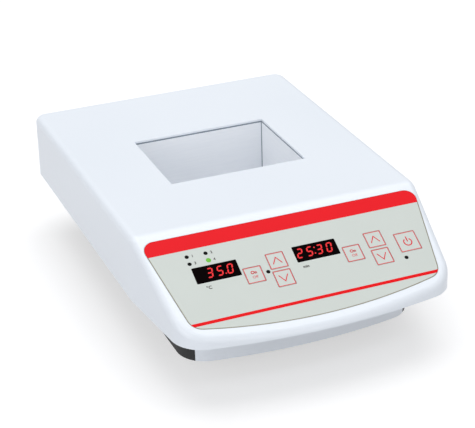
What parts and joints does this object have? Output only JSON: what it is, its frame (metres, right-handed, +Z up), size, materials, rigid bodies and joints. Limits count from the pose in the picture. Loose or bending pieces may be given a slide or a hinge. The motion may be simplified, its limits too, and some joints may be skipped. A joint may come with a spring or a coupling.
{
  "type": "dry bath incubator",
  "caption": "Digital one-block dry block heater: white wedge casing, square heating well, sloping keypad with two red numeric displays and sprung keys.",
  "frame": {"origin": "on the table, under the middle of the casing's bounding box", "axes": "+Z up, +Y to the rear, so the control panel faces -Y and +X is on the user's right"},
  "size_m": [0.203, 0.308, 0.089],
  "materials": {
    "casing_white": "semi-gloss white paint",
    "black_moulding": "matt black",
    "foot_rubber": "matt black rubber",
    "screw_steel": "zinc plated",
    "overlay_film": "satin printed film",
    "lamp_dark": "unlit lamp",
    "lamp_green": "lit green lamp",
    "dark_lens": "dark red lens",
    "board_green": "solder mask",
    "well_aluminium": "matt cast aluminium",
    "silicone": "silicone rubber",
    "fibre_board": "ceramic fibre board",
    "sheet_steel": "zinc plated sheet",
    "core_iron": "varnished laminations",
    "winding_copper": "enamelled copper wire",
    "terminal_green": "moulded",
    "pin_brass": "nickel plated brass",
    "socket_metal": "nickel plated",
    "lead_sheath": "insulated wire",
    "ribbon_grey": "flat ribbon"
  },
  "bodies": {
    "housing": {"base_tub": "black_moulding", "case_screws": "screw_steel", "clamp_plate": "well_aluminium", "control_board": "board_green", "control_board_screws": "screw_steel", "control_chips": "black_moulding", "foot_screws": "screw_steel", "front_apron": "casing_white", "heater_leads": "lead_sheath", "heater_mat": "silicone", "heater_tray": "sheet_steel", "heatsink": "well_aluminium", "indicator_lamps": "lamp_dark", "inlet_pins": "pin_brass", "inlet_screws": "screw_steel", "insulation_jacket": "fibre_board", "insulation_slab": "fibre_board", "key_switches": "black_moulding", "mains_inlet": "black_moulding", "mains_leads": "lead_sheath", "panel_carrier": "black_moulding", "panel_overlay": "overlay_film", "panel_ribbon": "ribbon_grey", "power_board": "board_green", "power_board_screws": "screw_steel", "probe_nut": "socket_metal", "probe_socket": "socket_metal", "ribbon_header": "black_moulding", "ribbon_socket": "black_moulding", "rubber_feet": "foot_rubber", "set_point_lamp": "lamp_green", "temp_display_lens": "dark_lens", "temp_display_module": "black_moulding", "temperature_sensor": "screw_steel", "terminal_block": "terminal_green", "thermal_cutout": "screw_steel", "time_display_lens": "dark_lens", "time_display_module": "black_moulding", "transformer_coil": "winding_copper", "transformer_core": "core_iron", "tray_screws": "screw_steel", "triac": "black_moulding", "upper_shell": "casing_white", "well_liner": "well_aluminium"},
    "power_key": {"power_key": "overlay_film"},
    "temp_down_key": {"temp_down_key": "overlay_film"},
    "temp_on_off_key": {"temp_on_off_key": "overlay_film"},
    "temp_up_key": {"temp_up_key": "overlay_film"},
    "time_down_key": {"time_down_key": "overlay_film"},
    "time_on_off_key": {"time_on_off_key": "overlay_film"},
    "time_up_key": {"time_up_key": "overlay_film"}
  },
  "joints": [
    {"name": "power_press", "type": "slide", "parent": "housing", "child": "power_key", "axis": [0, 0.4695, -0.8829], "range_m": [0, 0.0005], "stiffness_N_per_m": 3000, "springref_m": -0.0002},
    {"name": "temp_down_press", "type": "slide", "parent": "housing", "child": "temp_down_key", "axis": [0, 0.4695, -0.8829], "range_m": [0, 0.0005], "stiffness_N_per_m": 3000, "springref_m": -0.0002},
    {"name": "temp_on_off_press", "type": "slide", "parent": "housing", "child": "temp_on_off_key", "axis": [0, 0.4695, -0.8829], "range_m": [0, 0.0005], "stiffness_N_per_m": 3000, "springref_m": -0.0002},
    {"name": "temp_up_press", "type": "slide", "parent": "housing", "child": "temp_up_key", "axis": [0, 0.4695, -0.8829], "range_m": [0, 0.0005], "stiffness_N_per_m": 3000, "springref_m": -0.0002},
    {"name": "time_down_press", "type": "slide", "parent": "housing", "child": "time_down_key", "axis": [0, 0.4695, -0.8829], "range_m": [0, 0.0005], "stiffness_N_per_m": 3000, "springref_m": -0.0002},
    {"name": "time_on_off_press", "type": "slide", "parent": "housing", "child": "time_on_off_key", "axis": [0, 0.4695, -0.8829], "range_m": [0, 0.0005], "stiffness_N_per_m": 3000, "springref_m": -0.0002},
    {"name": "time_up_press", "type": "slide", "parent": "housing", "child": "time_up_key", "axis": [0, 0.4695, -0.8829], "range_m": [0, 0.0005], "stiffness_N_per_m": 3000, "springref_m": -0.0002}
  ]
}
